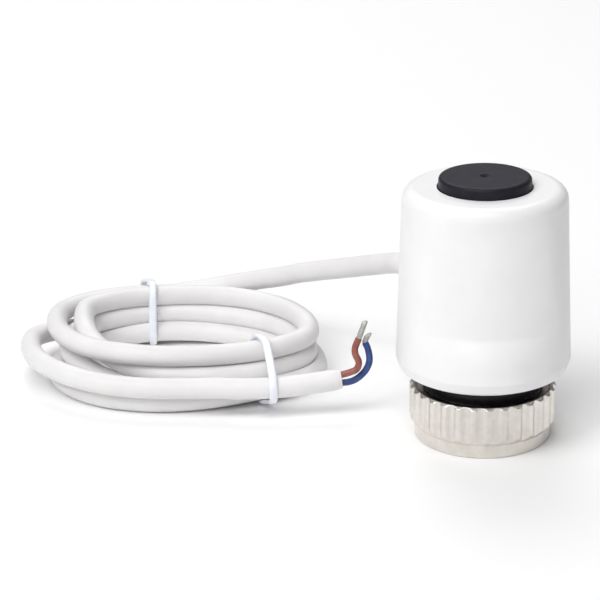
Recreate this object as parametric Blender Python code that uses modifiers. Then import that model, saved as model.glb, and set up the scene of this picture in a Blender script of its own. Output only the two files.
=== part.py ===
"""Thermal actuator head for a heating manifold or radiator valve.

A wax element, warmed by a small ceramic heater, pushes a carriage up against the
closing spring.  The carriage lifts the plunger off the valve pin and raises the black
stroke indicator in the cover's top.  A union nut, free to turn on a flanged sleeve,
screws the head to the valve.  The mains lead leaves the left rear of the cover and
lies beside the head as a tied coil with two stripped cores at its end.

Units are metres, +Z is up, and the origin is the centre of the union nut's bottom rim.
The recessed front panel of the cover faces -Y.
"""
import math

import bmesh
import bpy
from mathutils import Matrix, Vector

MM = 0.001
CLEARANCE = 0.3 * MM
MERGE = 0.00001
FINE_STEPS = 48
COARSE_STEPS = 32

# Union nut, for the valve thread M30 x 1.5 (minor diameter 28.4 mm).
NUT_HEIGHT = 13.9 * MM
NUT_COLLAR_RADIUS = 17.25 * MM
NUT_CREST_RADIUS = 18.5 * MM
NUT_COLLAR_HEIGHT = 3.4 * MM
NUT_CREST_START = 4.9 * MM
NUT_TOP_RIM_RADIUS = 16.8 * MM
NUT_TOP_DISH = 1.0 * MM
NUT_BORE_RADIUS = 14.3 * MM
NUT_LIP_RADIUS = 12.65 * MM
NUT_LIP_BOTTOM = 10.2 * MM
FLUTE_COUNT = 30
FLUTE_DEPTH = 0.7 * MM
FLUTE_RADIUS = 1.6 * MM

# Flanged sleeve that the nut turns on, and the black base above it.
SLEEVE_RADIUS = NUT_LIP_RADIUS - 0.35 * MM
SLEEVE_BORE = 9.6 * MM
SLEEVE_BOTTOM = 7.2 * MM
SLEEVE_TOP = 17.1 * MM
SLEEVE_FLANGE_RADIUS = NUT_BORE_RADIUS - 0.4 * MM
SLEEVE_FLANGE_TOP = NUT_LIP_BOTTOM - CLEARANCE
BASE_BOTTOM = NUT_HEIGHT - NUT_TOP_DISH + CLEARANCE
BASE_TOP = 20.7 * MM
BASE_RING_BOTTOM_RADIUS = 15.2 * MM
BASE_RING_TOP_RADIUS = 15.9 * MM
BASE_PLATE_BOTTOM = 18.9 * MM
BASE_STEP_HEIGHT = 19.5 * MM
BASE_STEP_RADIUS = 17.2 * MM
BASE_PLATE_RADIUS = 18.4 * MM
BUSH_RADIUS = 7.1 * MM
BUSH_BORE = 5.35 * MM

# Cover: a slightly tapered cup, open at the bottom, with a hole in its top.
COVER_BOTTOM = 18.2 * MM
COVER_TOP = 65.5 * MM
COVER_WIDE_RADIUS = 22.0 * MM
COVER_WIDE_HEIGHT = 21.4 * MM
COVER_NARROW_RADIUS = 20.45 * MM
COVER_EDGE_RADIUS = 20.4 * MM
COVER_FILLET = 3.0 * MM
COVER_HOLE_RADIUS = 12.1 * MM
COVER_INNER_RADIUS = 18.7 * MM
COVER_CEILING = 63.9 * MM
PANEL_RADIUS = 27.0 * MM
PANEL_LEVELS_MM = [
    (26.6, -0.15), (28.6, 0.45), (30.4, 1.1), (32.3, 1.95), (42.0, 1.9), (49.0, 1.7),
    (54.0, 1.2), (58.0, 0.62), (61.2, -0.15),
]

# Moving carriage, plunger and stroke indicator.
STROKE = 3.0 * MM
PLUNGER_RADIUS = 5.0 * MM
PLUNGER_TIP = 18.2 * MM
PLUNGER_HEAD_RADIUS = 7.6 * MM
PLUNGER_HEAD_BOTTOM = 21.2 * MM
PLUNGER_HEAD_TOP = 22.4 * MM
CARRIAGE_RADIUS = 9.2 * MM
CARRIAGE_BORE = 8.0 * MM
CARRIAGE_SEAT_RADIUS = 12.2 * MM
CARRIAGE_SEAT_BOTTOM = 32.0 * MM
CARRIAGE_SEAT_TOP = 33.5 * MM
CARRIAGE_HEAD_BOTTOM = 52.0 * MM
CARRIAGE_HEAD_TOP = 54.0 * MM
STEM_RADIUS = 2.8 * MM
STEM_FOOT_RADIUS = 5.0 * MM
STEM_FOOT_HEIGHT = 1.2 * MM
BUTTON_TOP = 68.2 * MM
BUTTON_TOP_RADIUS = 11.45 * MM
BUTTON_SIDE_RADIUS = 11.75 * MM
BUTTON_SHOULDER = 65.9 * MM
BUTTON_CEILING = 66.2 * MM
BUTTON_BORE = 10.9 * MM
BUTTON_FLANGE_RADIUS = 12.9 * MM
BUTTON_FLANGE_TOP = 60.7 * MM
BUTTON_BOTTOM = 60.0 * MM
DIMPLE_RADIUS = 0.9 * MM
DIMPLE_DEPTH = 0.35 * MM

# Fixed inner frame, spring and heat motor.
FRAME_RADIUS = 13.8 * MM
FRAME_BORE = 12.6 * MM
FRAME_BOTTOM = BASE_TOP + CLEARANCE
FRAME_FLANGE_TOP = 22.8 * MM
FRAME_RIM_BOTTOM = 56.9 * MM
FRAME_TOP = 58.4 * MM
FRAME_RIM_BORE = 9.6 * MM
WASHER_THICKNESS = 1.0 * MM
SPRING_RADIUS = 11.0 * MM
SPRING_WIRE = 1.6 * MM
SPRING_TURNS = 5.5
SPRING_POINTS_PER_TURN = 12
BRIDGE_BOTTOM = 27.0 * MM
BRIDGE_TOP = 29.5 * MM
BRIDGE_HALF_WIDTH = 3.2 * MM
BRIDGE_HALF_LENGTH = 15.4 * MM
CONTACT_THICKNESS = 0.3 * MM
CONTACT_WIDTH = 1.8 * MM
CONTACT_OFFSET = 1.9 * MM
CONTACT_END = 16.0 * MM
HEATER_RADIUS = 4.2 * MM
HEATER_BOTTOM = 30.4 * MM
HEATER_TOP = 32.5 * MM
WAX_RADIUS = 5.5 * MM
WAX_WAIST_RADIUS = 4.9 * MM
WAX_NECK_RADIUS = 3.2 * MM
WAX_BOTTOM = 33.4 * MM
WAX_SHOULDER = 47.5 * MM
WAX_TOP = 49.0 * MM
WAX_BORE_FLOOR = 42.0 * MM
PISTON_RADIUS = 1.5 * MM
SCREW_CIRCLE = 15.6 * MM
SCREW_HEAD_RADIUS = 1.5 * MM
SCREW_SHANK_RADIUS = 0.8 * MM
SCREW_HEAD_HEIGHT = 1.2 * MM
SCREW_COUNT = 3

# Mains lead, its gland at the left rear, and the coil beside the head.
CABLE_RADIUS = 2.8 * MM
CORE_RADIUS = 0.9 * MM
STRAND_RADIUS = 0.62 * MM
LEAD_RADIUS = 0.55 * MM
GLAND_AZIMUTH = math.radians(135)
GLAND_HEIGHT = 38.3 * MM
GLAND_BORE = CABLE_RADIUS + CLEARANCE
GLAND_NECK_RADIUS = 3.7 * MM
GLAND_FLANGE_RADIUS = 4.5 * MM
GLAND_INNER_FACE = 16.9 * MM
GLAND_INNER_FLANGE = 17.8 * MM
GLAND_OUTER_FLANGE = 21.8 * MM
GLAND_OUTER_FACE = 24.0 * MM
CLAMP_INNER_FACE = 15.4 * MM
CLAMP_THICKNESS = 1.2 * MM
CLAMP_SIZE = 9.0 * MM
STUB_INNER_FACE = 15.9 * MM
COIL_CENTRE = (-81.2 * MM, 43.8 * MM)
COIL_HALF_SIZE = (41.8 * MM, 33.0 * MM)
COIL_BAND = 14.0 * MM
COIL_HEIGHT = 17.0 * MM
COIL_STEPS = 40
TIE_WIDTH = 1.8 * MM
TIE_THICKNESS = 1.1 * MM
TIE_CORNER = 2.0 * MM
TIE_LIFT = 0.1 * MM
TIE_SLOT_REACH = 4.0 * MM
TIE_REAR_X = -89.5 * MM
TIE_FRONT_X = -56.5 * MM

# Routes of the lead where it isn't coiled: points on its centreline, in millimetres.
RUN_KNOTS_MM = [
    (-17.4, 17.4, 38.3), (-19.2, 20.4, 38.1), (-21.6, 27.0, 36.7), (-25.8, 36.4, 33.1),
    (-31.8, 46.0, 28.9), (-39.2, 55.0, 24.7), (-47.6, 62.6, 20.9), (-50.2, 64.5, 20.0),
]
TAIL_KNOTS_MM = [(-59.6, 11.0, 8.2), (-52.0, 10.8, 8.5), (-44.0, 11.3, 9.1), (-35.6, 12.0, 10.0)]
BROWN_KNOTS_MM = [
    (-35.2, 11.6, 11.3), (-33.3, 11.6, 12.0), (-31.6, 11.7, 12.8), (-31.0, 12.0, 14.6),
    (-31.9, 12.3, 16.8), (-31.9, 12.4, 18.6), (-30.9, 12.6, 21.1),
]
BROWN_TIP_KNOTS_MM = [(-30.75, 12.7, 21.6), (-29.3, 13.2, 25.3)]
BLUE_KNOTS_MM = [
    (-35.1, 12.2, 8.9), (-33.3, 12.3, 9.1), (-31.3, 12.7, 9.9), (-29.2, 13.1, 11.9),
    (-28.2, 13.5, 14.4), (-28.5, 14.0, 17.2), (-29.3, 14.4, 19.2),
]
BLUE_TIP_KNOTS_MM = [(-29.2, 14.6, 19.7), (-28.4, 15.2, 21.0)]


def make_material(name, colour, roughness, metallic=0.0):
    """A Principled material with one colour."""
    material = bpy.data.materials.new(name)
    material.use_nodes = True
    shader = material.node_tree.nodes["Principled BSDF"]
    shader.inputs["Base Color"].default_value = (*colour, 1.0)
    shader.inputs["Roughness"].default_value = roughness
    shader.inputs["Metallic"].default_value = metallic
    return material


def clear_scene():
    for item in list(bpy.data.objects):
        bpy.data.objects.remove(item, do_unlink=True)


def new_collection(name):
    collection = bpy.data.collections.new(name)
    bpy.context.scene.collection.children.link(collection)
    return collection


def add_part(name, data, material):
    """Puts a named sub-part in the actuator's collection."""
    part = bpy.data.objects.new(name, data)
    data.materials.append(material)
    PARTS.objects.link(part)
    return part


def add_cutter(name, data):
    """Puts a cutting shape in the cutters' collection, out of the finished object."""
    cutter = bpy.data.objects.new(name, data)
    cutter.hide_render = True
    cutter.display_type = "WIRE"
    CUTTERS.objects.link(cutter)
    return cutter


def cut(part, cutter):
    """Takes the cutter's shape out of the part."""
    modifier = part.modifiers.new(cutter.name, "BOOLEAN")
    modifier.operation = "DIFFERENCE"
    modifier.solver = "EXACT"
    modifier.object = cutter


def turned(name, profile, material, steps=COARSE_STEPS):
    """A solid turned about local Z.

    The profile's (radius, height) points run down its outer side.  It either starts and
    ends on the axis, or is a closed loop that stays off it.
    """
    mesh = bpy.data.meshes.new(name)
    count = len(profile)
    on_axis = profile[0][0] == 0.0
    edges = [(i, i + 1) for i in range(count - 1)]
    if not on_axis:
        edges.append((count - 1, 0))
    mesh.from_pydata([(radius, 0.0, height) for radius, height in profile], edges, [])
    part = add_part(name, mesh, material)
    screw = part.modifiers.new("turn", "SCREW")
    screw.steps = steps
    screw.render_steps = steps
    screw.use_merge_vertices = True
    screw.merge_threshold = MERGE
    screw.use_smooth_shade = True
    return part


def box_mesh(name, low, high):
    """A box between two corners, as a mesh around the world origin."""
    mesh = bpy.data.meshes.new(name)
    shape = bmesh.new()
    bmesh.ops.create_cube(shape, size=1.0)
    size = Vector(high) - Vector(low)
    centre = (Vector(high) + Vector(low)) / 2
    bmesh.ops.scale(shape, vec=size, verts=shape.verts)
    bmesh.ops.translate(shape, vec=centre, verts=shape.verts)
    shape.to_mesh(mesh)
    shape.free()
    return mesh


def rods_mesh(name, radius, bottom, top, centres, segments=12):
    """Upright round rods at the given (x, y) centres, as one mesh."""
    mesh = bpy.data.meshes.new(name)
    shape = bmesh.new()
    for x, y in centres:
        place = Matrix.Translation((x, y, (bottom + top) / 2))
        bmesh.ops.create_cone(
            shape, cap_ends=True, segments=segments, radius1=radius, radius2=radius,
            depth=top - bottom, matrix=place)
    shape.to_mesh(mesh)
    shape.free()
    return mesh


def on_circle(radius, count, start=0.0):
    """Evenly spaced (x, y) points on a circle about the Z axis."""
    angles = [start + 2 * math.pi * i / count for i in range(count)]
    return [(radius * math.cos(a), radius * math.sin(a)) for a in angles]


def aim_outward(part):
    """Turns a part made along local Z to point out of the cover through the gland."""
    part.location = (0.0, 0.0, GLAND_HEIGHT)
    part.rotation_euler = (0.0, math.pi / 2, GLAND_AZIMUTH)


def smooth_route(knots_mm, samples):
    """Points on a smooth curve through the knots, each span split into equal samples."""
    knots = [Vector(knot) * MM for knot in knots_mm]
    padded = [2 * knots[0] - knots[1], *knots, 2 * knots[-1] - knots[-2]]
    points = []
    for i in range(1, len(padded) - 2):
        before, start, end, after = padded[i - 1:i + 3]
        for step in range(samples):
            t = step / samples
            points.append(0.5 * (
                2 * start + (end - before) * t
                + (2 * before - 5 * start + 4 * end - after) * t ** 2
                + (3 * start - before - 3 * end + after) * t ** 3))
    points.append(knots[-1])
    return points


def tube(name, points, radius, material, bevel_resolution=2, closed=False):
    """A round wire or cable along the points."""
    curve = bpy.data.curves.new(name, "CURVE")
    curve.dimensions = "3D"
    curve.bevel_depth = radius
    curve.bevel_resolution = bevel_resolution
    curve.use_fill_caps = not closed
    spline = curve.splines.new("POLY")
    spline.points.add(len(points) - 1)
    for target, point in zip(spline.points, points):
        target.co = (*point, 1.0)
    spline.use_cyclic_u = closed
    return add_part(name, curve, material)


def outline_part(name, outlines, thickness, material):
    """A flat outline, with any holes, given thickness about its own plane."""
    curve = bpy.data.curves.new(name, "CURVE")
    curve.dimensions = "2D"
    curve.fill_mode = "BOTH"
    curve.extrude = thickness / 2
    for outline in outlines:
        spline = curve.splines.new("POLY")
        spline.points.add(len(outline) - 1)
        for target, (x, y) in zip(spline.points, outline):
            target.co = (x, y, 0.0, 1.0)
        spline.use_cyclic_u = True
    return add_part(name, curve, material)


def make_mesh(part):
    """Swaps a curve part for its welded mesh, so that it can be cut."""
    bpy.context.view_layer.update()
    evaluated = part.evaluated_get(bpy.context.evaluated_depsgraph_get())
    mesh = bpy.data.meshes.new_from_object(evaluated)
    shape = bmesh.new()
    shape.from_mesh(mesh)
    bmesh.ops.remove_doubles(shape, verts=shape.verts, dist=MERGE)
    shape.to_mesh(mesh)
    shape.free()
    name = part.name
    place = part.matrix_world.copy()
    bpy.data.objects.remove(part, do_unlink=True)
    mesh_part = bpy.data.objects.new(name, mesh)
    mesh_part.matrix_world = place
    PARTS.objects.link(mesh_part)
    return mesh_part


def oval(half_x, half_y, steps=COIL_STEPS):
    """Points round an oval centred on the coil."""
    angles = [2 * math.pi * i / steps for i in range(steps)]
    centre_x, centre_y = COIL_CENTRE
    return [(centre_x + half_x * math.cos(a), centre_y + half_y * math.sin(a)) for a in angles]


def group_axis(name, parts, height=0.0):
    """An empty on the joint's axis that carries the parts of one moving group."""
    axis = bpy.data.objects.new(name, None)
    axis.location = (0.0, 0.0, height)
    PARTS.objects.link(axis)
    bpy.context.view_layer.update()
    for part in parts:
        part.parent = axis
        part.matrix_parent_inverse = Matrix.Translation((0.0, 0.0, -height))


def build_union_nut():
    """Nickel-plated union nut with a plain collar below and scalloped flutes above."""
    nut = turned("union_nut", [
        (NUT_CREST_RADIUS, NUT_HEIGHT - 0.5 * MM),
        (NUT_CREST_RADIUS, NUT_CREST_START),
        (NUT_COLLAR_RADIUS, NUT_COLLAR_HEIGHT),
        (NUT_COLLAR_RADIUS, 0.4 * MM),
        (NUT_COLLAR_RADIUS - 0.4 * MM, 0.0),
        (NUT_BORE_RADIUS + 0.5 * MM, 0.0),
        (NUT_BORE_RADIUS, 0.5 * MM),
        (NUT_BORE_RADIUS, NUT_LIP_BOTTOM),
        (NUT_LIP_RADIUS, NUT_LIP_BOTTOM),
        (NUT_LIP_RADIUS, NUT_HEIGHT - NUT_TOP_DISH),
        (NUT_TOP_RIM_RADIUS, NUT_HEIGHT - NUT_TOP_DISH),
        (NUT_TOP_RIM_RADIUS + 0.4 * MM, NUT_HEIGHT),
        (NUT_CREST_RADIUS - 0.5 * MM, NUT_HEIGHT),
    ], NICKEL, steps=60)
    centres = on_circle(NUT_CREST_RADIUS + FLUTE_RADIUS - FLUTE_DEPTH, FLUTE_COUNT)
    flutes = rods_mesh("flutes", FLUTE_RADIUS, NUT_COLLAR_HEIGHT - 1.0 * MM,
                       NUT_HEIGHT + 1.0 * MM, centres, segments=10)
    cut(nut, add_cutter("nut_flutes", flutes))
    return nut


def build_base():
    """Sleeve that holds the nut, black base, guide bush and the two seals."""
    turned("neck_sleeve", [
        (SLEEVE_RADIUS, SLEEVE_TOP),
        (SLEEVE_RADIUS, SLEEVE_FLANGE_TOP),
        (SLEEVE_FLANGE_RADIUS, SLEEVE_FLANGE_TOP),
        (SLEEVE_FLANGE_RADIUS, SLEEVE_BOTTOM),
        (SLEEVE_BORE, SLEEVE_BOTTOM),
        (SLEEVE_BORE, SLEEVE_TOP),
    ], BRASS)
    web_bottom = SLEEVE_TOP + CLEARANCE
    base = turned("adapter_base", [
        (BASE_STEP_RADIUS, BASE_TOP),
        (BASE_STEP_RADIUS, BASE_STEP_HEIGHT),
        (BASE_PLATE_RADIUS, BASE_STEP_HEIGHT),
        (BASE_PLATE_RADIUS, BASE_PLATE_BOTTOM),
        (BASE_RING_TOP_RADIUS, BASE_PLATE_BOTTOM),
        (BASE_RING_BOTTOM_RADIUS, BASE_BOTTOM),
        (SLEEVE_RADIUS + CLEARANCE, BASE_BOTTOM),
        (SLEEVE_RADIUS + CLEARANCE, web_bottom),
        (BUSH_RADIUS + CLEARANCE, web_bottom),
        (BUSH_RADIUS + CLEARANCE, BASE_TOP),
    ], BLACK_PLASTIC, steps=FINE_STEPS)
    cut(base, SCREW_HOLES)
    turned("guide_bush", [
        (BUSH_RADIUS, BASE_TOP + 0.2 * MM),
        (BUSH_RADIUS, web_bottom + CLEARANCE),
        (BUSH_BORE, web_bottom + CLEARANCE),
        (BUSH_BORE, BASE_TOP + 0.2 * MM),
    ], BRASS)
    seal_thickness = 0.9 * MM
    turned("plunger_seal", [
        (SLEEVE_BORE - 0.4 * MM, SLEEVE_TOP),
        (SLEEVE_BORE - 0.4 * MM, SLEEVE_TOP - seal_thickness),
        (BUSH_BORE, SLEEVE_TOP - seal_thickness),
        (BUSH_BORE, SLEEVE_TOP),
    ], RUBBER)
    ring_radius = 0.42 * MM
    centre_radius = (BASE_STEP_RADIUS + BASE_PLATE_RADIUS) / 2 + 0.15 * MM
    centre_height = (BASE_STEP_HEIGHT + FRAME_BOTTOM) / 2 + 0.05 * MM
    ring_angles = [math.pi / 2 - 2 * math.pi * i / 6 for i in range(6)]
    turned("cover_seal", [
        (centre_radius + ring_radius * math.cos(a), centre_height + ring_radius * math.sin(a))
        for a in ring_angles
    ], RUBBER)


def side_radius(height):
    """Radius of the cover's tapered side at a height."""
    taper_top = COVER_TOP - COVER_FILLET
    share = (height - COVER_WIDE_HEIGHT) / (taper_top - COVER_WIDE_HEIGHT)
    return COVER_WIDE_RADIUS + share * (COVER_NARROW_RADIUS - COVER_WIDE_RADIUS)


def panel_cutter():
    """Shape in front of the cover that leaves its front panel, with the slope below it.

    Each level is an arc of the panel's own wider radius, set back into the cover's side.
    """
    reach = math.radians(46)
    arc_steps = 16
    outer_y = -(COVER_WIDE_RADIUS + 6 * MM)
    vertices = []
    for height_mm, depth_mm in PANEL_LEVELS_MM:
        height = height_mm * MM
        axis_y = PANEL_RADIUS - side_radius(height) + depth_mm * MM
        for i in range(arc_steps + 1):
            angle = -math.pi / 2 - reach + 2 * reach * i / arc_steps
            vertices.append((PANEL_RADIUS * math.cos(angle),
                             axis_y + PANEL_RADIUS * math.sin(angle), height))
        side_x = PANEL_RADIUS * math.sin(reach)
        vertices += [(side_x, outer_y, height), (-side_x, outer_y, height)]
    ring = arc_steps + 3
    faces = [list(range(ring)), list(range(len(vertices) - ring, len(vertices)))]
    for level in range(len(PANEL_LEVELS_MM) - 1):
        for i in range(ring):
            j = (i + 1) % ring
            low, high = level * ring, (level + 1) * ring
            faces.append([low + i, low + j, high + j, high + i])
    mesh = bpy.data.meshes.new("front_panel")
    mesh.from_pydata(vertices, [], faces)
    shape = bmesh.new()
    shape.from_mesh(mesh)
    bmesh.ops.recalc_face_normals(shape, faces=shape.faces)
    shape.to_mesh(mesh)
    shape.free()
    return add_cutter("front_panel", mesh)


def build_cover():
    """White cover with its fillet, indicator hole, front panel and gland hole."""
    fillet_steps = 4
    fillet_centre = (COVER_NARROW_RADIUS - COVER_FILLET, COVER_TOP - COVER_FILLET)
    fillet = []
    for i in range(fillet_steps + 1):
        angle = math.pi / 2 * (1 - i / fillet_steps)
        fillet.append((fillet_centre[0] + COVER_FILLET * math.cos(angle),
                       fillet_centre[1] + COVER_FILLET * math.sin(angle)))
    cover = turned("outer_cover", [
        (COVER_HOLE_RADIUS, COVER_TOP),
        *fillet,
        (COVER_WIDE_RADIUS, COVER_WIDE_HEIGHT),
        (COVER_WIDE_RADIUS - 0.35 * MM, COVER_WIDE_HEIGHT - 1.7 * MM),
        (COVER_EDGE_RADIUS, COVER_BOTTOM),
        (COVER_INNER_RADIUS + 0.6 * MM, COVER_BOTTOM),
        (COVER_INNER_RADIUS, COVER_BOTTOM + 0.8 * MM),
        (COVER_INNER_RADIUS, COVER_CEILING - 0.9 * MM),
        (COVER_INNER_RADIUS - 0.7 * MM, COVER_CEILING),
        (COVER_HOLE_RADIUS, COVER_CEILING),
    ], WHITE_PLASTIC, steps=FINE_STEPS)
    cut(cover, panel_cutter())
    hole = rods_mesh("gland_hole", GLAND_NECK_RADIUS + CLEARANCE, COVER_INNER_RADIUS - 4 * MM,
                     COVER_WIDE_RADIUS + 4 * MM, [(0.0, 0.0)], segments=20)
    hole_cutter = add_cutter("gland_hole", hole)
    aim_outward(hole_cutter)
    cut(cover, hole_cutter)


def build_frame():
    """Fixed inner frame, its screws, and the washer that the spring pushes against."""
    frame = turned("inner_frame", [
        (FRAME_RADIUS, FRAME_TOP),
        (FRAME_RADIUS, FRAME_FLANGE_TOP),
        (BASE_PLATE_RADIUS, FRAME_FLANGE_TOP),
        (BASE_PLATE_RADIUS, FRAME_BOTTOM),
        (FRAME_BORE, FRAME_BOTTOM),
        (FRAME_BORE, FRAME_RIM_BOTTOM),
        (FRAME_RIM_BORE, FRAME_RIM_BOTTOM),
        (FRAME_RIM_BORE, FRAME_TOP),
    ], NATURAL_PLASTIC)
    window_half_width = BRIDGE_HALF_WIDTH + 1.0 * MM
    window = box_mesh("frame_window",
                      (-window_half_width, -BASE_PLATE_RADIUS, BRIDGE_BOTTOM - CLEARANCE),
                      (window_half_width, BASE_PLATE_RADIUS, CARRIAGE_SEAT_TOP + STROKE))
    cut(frame, add_cutter("frame_window", window))
    cut(frame, SCREW_HOLES)
    for number, (x, y) in enumerate(on_circle(SCREW_CIRCLE, SCREW_COUNT, math.pi / 6), 1):
        head_bottom = FRAME_FLANGE_TOP + CLEARANCE
        screw = turned(f"frame_screw_{number}", [
            (0.0, head_bottom + SCREW_HEAD_HEIGHT),
            (SCREW_HEAD_RADIUS, head_bottom + SCREW_HEAD_HEIGHT - 0.3 * MM),
            (SCREW_HEAD_RADIUS, head_bottom),
            (SCREW_SHANK_RADIUS, head_bottom),
            (SCREW_SHANK_RADIUS, BASE_PLATE_BOTTOM + 0.2 * MM),
            (0.0, BASE_PLATE_BOTTOM + 0.2 * MM),
        ], STEEL, steps=12)
        screw.location = (x, y, 0.0)
    washer_top = FRAME_RIM_BOTTOM - CLEARANCE
    turned("spring_washer", [
        (FRAME_BORE - 0.4 * MM, washer_top),
        (FRAME_BORE - 0.4 * MM, washer_top - WASHER_THICKNESS),
        (FRAME_RIM_BORE, washer_top - WASHER_THICKNESS),
        (FRAME_RIM_BORE, washer_top),
    ], STEEL)
    return washer_top - WASHER_THICKNESS


def contact_strip(name, side, route):
    """A flat contact spring: its (y, z) route given thickness and extruded along X."""
    half = CONTACT_THICKNESS / 2
    upper = []
    lower = []
    for i, (y, z) in enumerate(route):
        before = Vector(route[max(i - 1, 0)])
        after = Vector(route[min(i + 1, len(route) - 1)])
        along = (after - before).normalized()
        across = Vector((-along.y, along.x))
        stretch = half / max(abs(across.x), abs(across.y))
        upper.append((y + across.x * stretch, z + across.y * stretch))
        lower.append((y - across.x * stretch, z - across.y * stretch))
    strip = outline_part(name, [[*upper, *reversed(lower)]], CONTACT_WIDTH, COPPER)
    strip.rotation_euler = (math.pi / 2, 0.0, math.pi / 2)
    strip.location = (side * CONTACT_OFFSET, 0.0, 0.0)


def build_heat_motor():
    """Bridge, contacts, ceramic heater and wax element, stacked inside the carriage."""
    bridge = box_mesh("heater_bridge", (-BRIDGE_HALF_WIDTH, -BRIDGE_HALF_LENGTH, BRIDGE_BOTTOM),
                      (BRIDGE_HALF_WIDTH, BRIDGE_HALF_LENGTH, BRIDGE_TOP))
    add_part("heater_bridge", bridge, NATURAL_PLASTIC)
    low_strip = BRIDGE_TOP + CLEARANCE + CONTACT_THICKNESS / 2
    high_strip = HEATER_TOP + CLEARANCE + CONTACT_THICKNESS / 2
    step_height = low_strip + 0.65 * MM
    step_y = (HEATER_RADIUS + CARRIAGE_BORE) / 2 + 0.5 * MM
    inner_end = HEATER_RADIUS - 0.7 * MM
    contact_strip("contact_lower", -1, [(-inner_end, low_strip), (CONTACT_END, low_strip)])
    contact_strip("contact_upper", 1, [
        (-inner_end, high_strip), (step_y, high_strip), (step_y, step_height),
        (CONTACT_END, step_height)])
    turned("ptc_heater", [
        (0.0, HEATER_TOP), (HEATER_RADIUS, HEATER_TOP),
        (HEATER_RADIUS, HEATER_BOTTOM), (0.0, HEATER_BOTTOM),
    ], CERAMIC, steps=24)
    piston_bore = PISTON_RADIUS + 0.35 * MM
    turned("wax_element", [
        (0.0, WAX_BORE_FLOOR),
        (piston_bore, WAX_BORE_FLOOR),
        (piston_bore, WAX_TOP),
        (WAX_NECK_RADIUS, WAX_TOP),
        (WAX_NECK_RADIUS, WAX_SHOULDER),
        (WAX_RADIUS, WAX_SHOULDER),
        (WAX_RADIUS, WAX_SHOULDER - 1.9 * MM),
        (WAX_WAIST_RADIUS, WAX_SHOULDER - 1.9 * MM),
        (WAX_WAIST_RADIUS, WAX_BOTTOM + 1.6 * MM),
        (WAX_RADIUS, WAX_BOTTOM + 1.6 * MM),
        (WAX_RADIUS, WAX_BOTTOM),
        (0.0, WAX_BOTTOM),
    ], BRASS, steps=24)
    piston = turned("wax_piston", [
        (0.0, CARRIAGE_HEAD_BOTTOM - CLEARANCE),
        (PISTON_RADIUS, CARRIAGE_HEAD_BOTTOM - CLEARANCE),
        (PISTON_RADIUS, WAX_BORE_FLOOR + 0.4 * MM),
        (0.0, WAX_BORE_FLOOR + 0.4 * MM),
    ], STEEL, steps=16)
    group_axis("piston_axis", [piston], WAX_BORE_FLOOR)
    return low_strip, step_height


def build_spring(bottom, top):
    """Closing spring between the carriage's seat and the washer, with flat end turns."""
    wire_radius = SPRING_WIRE / 2
    low = bottom + wire_radius
    high = top - wire_radius
    end_share = 0.12
    points = []
    total = int((SPRING_TURNS + 2 * 0.75) * SPRING_POINTS_PER_TURN)
    for i in range(total + 1):
        share = i / total
        angle = 2 * math.pi * i / SPRING_POINTS_PER_TURN
        rise = min(max((share - end_share) / (1 - 2 * end_share), 0.0), 1.0)
        end_rise = 0.95 * SPRING_WIRE
        if share < end_share:
            height = low + end_rise * share / end_share
        elif share > 1 - end_share:
            height = high - end_rise * (1 - share) / end_share
        else:
            height = low + end_rise + rise * (high - low - 2 * end_rise)
        points.append((SPRING_RADIUS * math.cos(angle), SPRING_RADIUS * math.sin(angle), height))
    tube("closing_spring", points, wire_radius, STEEL, bevel_resolution=1)


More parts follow.
